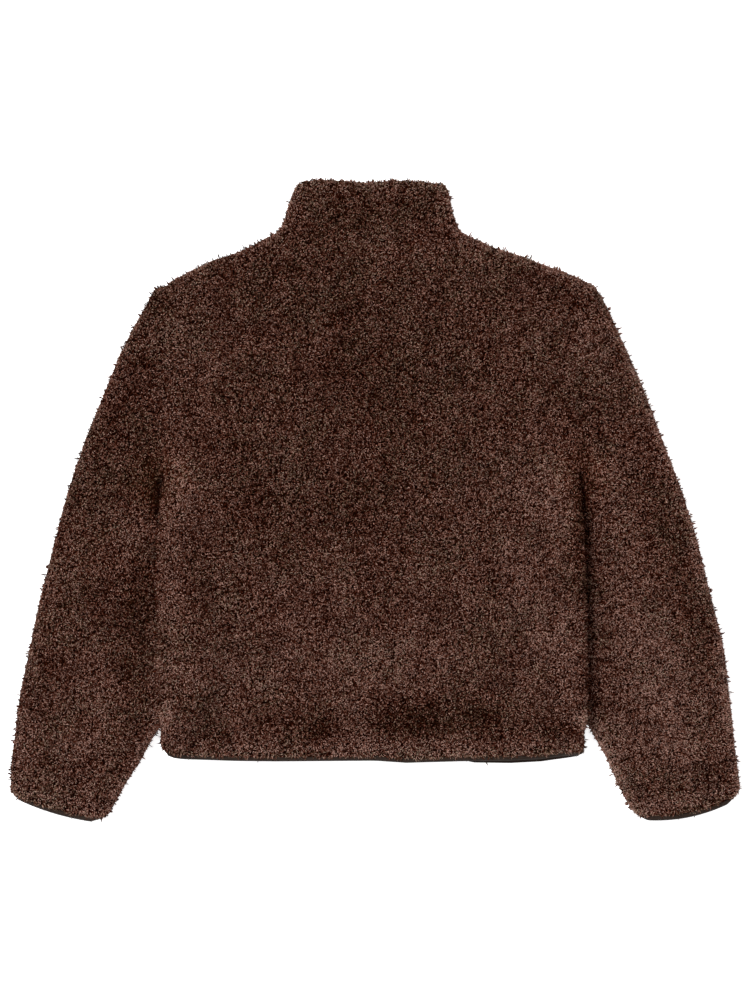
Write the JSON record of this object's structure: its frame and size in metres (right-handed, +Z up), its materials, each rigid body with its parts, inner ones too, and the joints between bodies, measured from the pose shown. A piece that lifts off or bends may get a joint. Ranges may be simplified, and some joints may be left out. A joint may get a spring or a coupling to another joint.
{
  "type": "fleece jacket",
  "caption": "High-pile fleece jacket with stand collar, full front zip and elastic-bound hem and cuffs, zipped up and laid flat on its front, its sleeves tucked under its sides.",
  "frame": {"origin": "middle of the bounding box's base, on the surface that the jacket lies on", "axes": "+X towards the wearer's right sleeve, +Y towards the collar, +Z up, out of the jacket's back"},
  "size_m": [0.8406, 0.7373, 0.0358],
  "materials": {
    "fleece": "high-pile polyester fleece, dark chocolate brown",
    "binding": "smooth elastic binding, dark grey-brown, slightly shiny",
    "zip_tape": "woven polyester tape, dark brown",
    "zip_teeth": "moulded plastic, satin dark brown",
    "zip_metal": "dark painted zinc, satin"
  },
  "bodies": {
    "jacket": {"back": "fleece", "front_left": "fleece", "front_right": "fleece", "sleeve_left": "fleece", "sleeve_right": "fleece", "collar": "fleece", "hem_binding": "binding", "cuff_binding_left": "binding", "cuff_binding_right": "binding", "zip_tape_left": "zip_tape", "zip_tape_right": "zip_tape", "zip_chain": "zip_teeth", "zip_box": "zip_teeth", "zip_slider": "zip_metal"},
    "pull_tab": {"zip_pull_tab": "zip_metal"}
  },
  "joints": [
    {"name": "pull_tab_hinge", "type": "hinge", "parent": "jacket", "child": "pull_tab", "pos_m": [-0.0018, 0.319, 0.0041], "axis": [1, 0, 0], "range_deg": [0, 175]}
  ]
}
